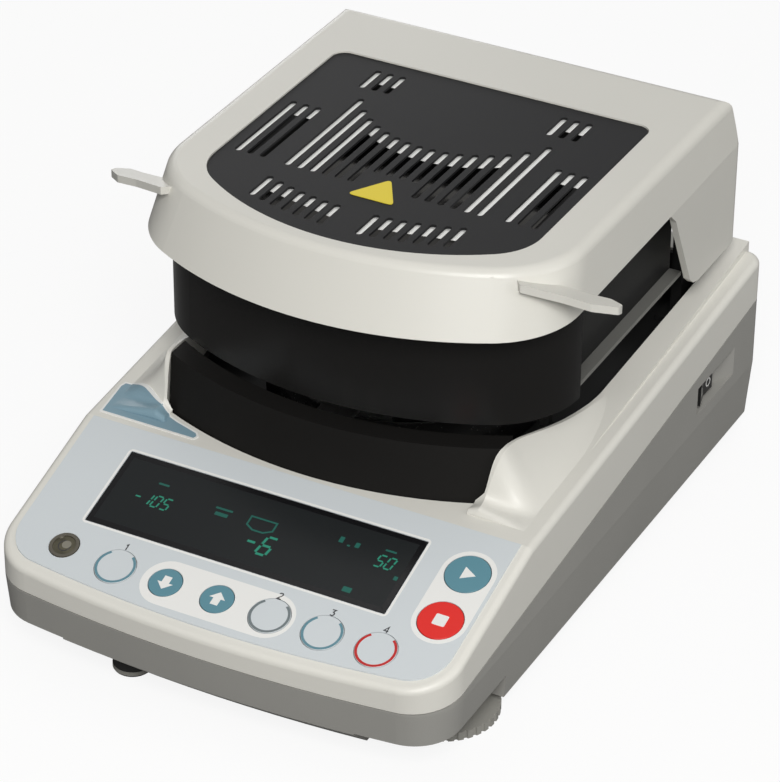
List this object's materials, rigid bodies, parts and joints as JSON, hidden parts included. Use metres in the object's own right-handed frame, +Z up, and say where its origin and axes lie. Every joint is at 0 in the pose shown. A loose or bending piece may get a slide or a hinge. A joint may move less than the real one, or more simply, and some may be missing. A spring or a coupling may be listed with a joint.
{
  "type": "moisture analyzer",
  "caption": "Bench moisture analyzer: sloping key panel with display, hinged heating hood with slotted grille and smoked window over a weighing pan, levelling feet and mains inlet.",
  "frame": {"origin": "centre of the bounding box on the plane the feet stand on", "axes": "+X to the right, +Y to the rear (the key panel faces -Y), +Z up"},
  "size_m": [0.2366, 0.32, 0.1759],
  "materials": {
    "white_plastic": "fine satin",
    "grey_plastic": "fine texture",
    "black_plastic": "satin",
    "black_metal": "satin",
    "bright_metal": "bright",
    "steel": "satin",
    "overlay": "fine satin",
    "ring_key": "satin",
    "arrow_key": "satin",
    "start_key": "satin",
    "stop_key": "satin",
    "board": "satin",
    "level_cup": "satin",
    "liquid_glass": "clear green",
    "display_glass": "smoked",
    "smoked_glass": "smoked",
    "clear_glass": "clear",
    "ceramic": "ceramic white",
    "rubber": "matt"
  },
  "bodies": {
    "base": {"upper_case": "white_plastic", "lower_case": "grey_plastic", "front_fascia": "black_plastic", "chamber_basin": "black_plastic", "fuse_holder": "black_plastic", "ac_inlet": "black_plastic", "switch_housing": "black_plastic", "lid_switch": "black_plastic", "hinge_brackets": "black_metal", "draft_ring": "bright_metal", "well_shield": "bright_metal", "chassis_plate": "bright_metal", "load_cell": "bright_metal", "support_shaft": "steel", "pan_support": "steel", "hinge_pins": "steel", "transformer": "steel", "serial_connector": "steel", "panel_overlay": "overlay", "control_board": "board", "main_board": "board", "power_board": "board", "key_switches": "board", "display_module": "board", "level_cup": "level_cup", "level_vial": "liquid_glass", "display_window": "display_glass", "rubber_feet": "rubber"},
    "lid": {"lid_shell": "white_plastic", "grille_plate": "black_metal", "heat_deflector": "bright_metal", "smoked_window": "smoked_glass", "lid_liner": "black_plastic", "side_ledges": "grey_plastic", "lamp_housing": "black_plastic", "guard_glass": "clear_glass", "halogen_lamp": "clear_glass", "lamp_holders": "ceramic", "lamp_reflector": "bright_metal", "temperature_sensor": "steel", "hinge_arms": "black_metal", "left_handle": "white_plastic", "right_handle": "white_plastic"},
    "pan": {"sample_pan": "bright_metal", "pan_handle": "steel"},
    "rocker": {"power_rocker": "black_plastic"},
    "fuse_carrier": {"fuse_cap": "black_plastic", "fuse_tube": "clear_glass"},
    "left_foot": {"left_foot_stud": "steel"},
    "right_foot": {"right_foot_stud": "steel"},
    "left_disc": {"left_foot_disc": "grey_plastic"},
    "right_disc": {"right_foot_disc": "grey_plastic"},
    "program_key_body": {"program_key": "ring_key"},
    "down_key_body": {"down_key": "arrow_key"},
    "up_key_body": {"up_key": "arrow_key"},
    "select_key_body": {"select_key": "ring_key"},
    "enter_key_body": {"enter_key": "ring_key"},
    "reset_key_body": {"reset_key": "ring_key"},
    "start_key_body": {"start_key": "start_key"},
    "stop_key_body": {"stop_key": "stop_key"}
  },
  "joints": [
    {"name": "lid_hinge", "type": "hinge", "parent": "base", "child": "lid", "pos_m": [0, 0.13, 0.116], "axis": [-1, 0, 0], "range_deg": [0, 65]},
    {"name": "pan_lift", "type": "slide", "parent": "base", "child": "pan", "axis": [0, 0, 1], "range_m": [0, 0.009]},
    {"name": "rocker_turn", "type": "hinge", "parent": "base", "child": "rocker", "pos_m": [0.1, 0.1035, 0.048], "axis": [0, 0, -1], "range_deg": [0, 14]},
    {"name": "fuse_turn", "type": "hinge", "parent": "base", "child": "fuse_carrier", "pos_m": [0.024, 0.155, 0.0225], "axis": [0, 1, 0], "range_deg": [0, 90]},
    {"name": "left_foot_slide", "type": "slide", "parent": "base", "child": "left_foot", "axis": [0, 0, -1], "range_m": [0, 0.004]},
    {"name": "left_foot_turn", "type": "hinge", "parent": "left_foot", "child": "left_disc", "pos_m": [-0.08, -0.1, 0], "axis": [0, 0, -1], "range_deg": [0, 1440]},
    {"name": "right_foot_slide", "type": "slide", "parent": "base", "child": "right_foot", "axis": [0, 0, -1], "range_m": [0, 0.004]},
    {"name": "right_foot_turn", "type": "hinge", "parent": "right_foot", "child": "right_disc", "pos_m": [0.08, -0.1, 0], "axis": [0, 0, -1], "range_deg": [0, 1440]},
    {"name": "program_key_press", "type": "slide", "parent": "base", "child": "program_key_body", "axis": [0, 0.2873, -0.9578], "range_m": [0, 0.0005], "stiffness_N_per_m": 400, "springref_m": -0.001},
    {"name": "down_key_press", "type": "slide", "parent": "base", "child": "down_key_body", "axis": [0, 0.2873, -0.9578], "range_m": [0, 0.0005], "stiffness_N_per_m": 400, "springref_m": -0.001},
    {"name": "up_key_press", "type": "slide", "parent": "base", "child": "up_key_body", "axis": [0, 0.2873, -0.9578], "range_m": [0, 0.0005], "stiffness_N_per_m": 400, "springref_m": -0.001},
    {"name": "select_key_press", "type": "slide", "parent": "base", "child": "select_key_body", "axis": [0, 0.2873, -0.9578], "range_m": [0, 0.0005], "stiffness_N_per_m": 400, "springref_m": -0.001},
    {"name": "enter_key_press", "type": "slide", "parent": "base", "child": "enter_key_body", "axis": [0, 0.2873, -0.9578], "range_m": [0, 0.0005], "stiffness_N_per_m": 400, "springref_m": -0.001},
    {"name": "reset_key_press", "type": "slide", "parent": "base", "child": "reset_key_body", "axis": [0, 0.2873, -0.9578], "range_m": [0, 0.0005], "stiffness_N_per_m": 400, "springref_m": -0.001},
    {"name": "start_key_press", "type": "slide", "parent": "base", "child": "start_key_body", "axis": [0, 0.2873, -0.9578], "range_m": [0, 0.0005], "stiffness_N_per_m": 400, "springref_m": -0.001},
    {"name": "stop_key_press", "type": "slide", "parent": "base", "child": "stop_key_body", "axis": [0, 0.2873, -0.9578], "range_m": [0, 0.0005], "stiffness_N_per_m": 400, "springref_m": -0.001}
  ],
  "couplings": [
    {"joint": "left_foot_slide", "follows": "left_foot_turn", "m_per_rad": 0.00015915},
    {"joint": "right_foot_slide", "follows": "right_foot_turn", "m_per_rad": 0.00015915}
  ]
}
